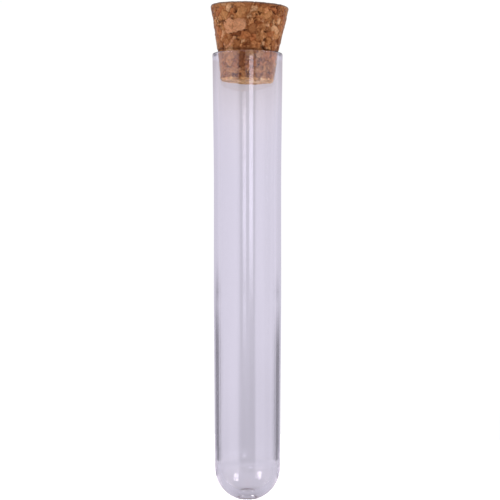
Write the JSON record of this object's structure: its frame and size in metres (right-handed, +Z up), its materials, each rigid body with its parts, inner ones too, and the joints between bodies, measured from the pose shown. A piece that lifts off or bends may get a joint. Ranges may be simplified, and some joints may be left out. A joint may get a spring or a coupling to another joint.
{
  "type": "test tube",
  "caption": "Round-bottomed clear plastic test tube with a slightly flared, rounded mouth, closed by a tapered agglomerated-cork stopper that pulls out.",
  "frame": {"origin": "on the tube's axis, at the lowest ring of its round bottom", "axes": "+Z up along the tube's axis, towards the mouth; +X is the side that the seated stopper leans to; the front view looks along +Y"},
  "size_m": [0.0175, 0.0174, 0.1109],
  "materials": {
    "clear_plastic": "clear, glossy injection-moulded polystyrene with a faint lavender cast",
    "cork": "matte agglomerated cork: tan, orange-brown and dark brown granules pressed together, with small pits"
  },
  "bodies": {
    "tube_body": {"tube": "clear_plastic"},
    "stopper_body": {"stopper": "cork"}
  },
  "joints": [
    {"name": "stopper_pull", "type": "slide", "parent": "tube_body", "child": "stopper_body", "axis": [0, 0, 1], "range_m": [0, 0.03]}
  ]
}
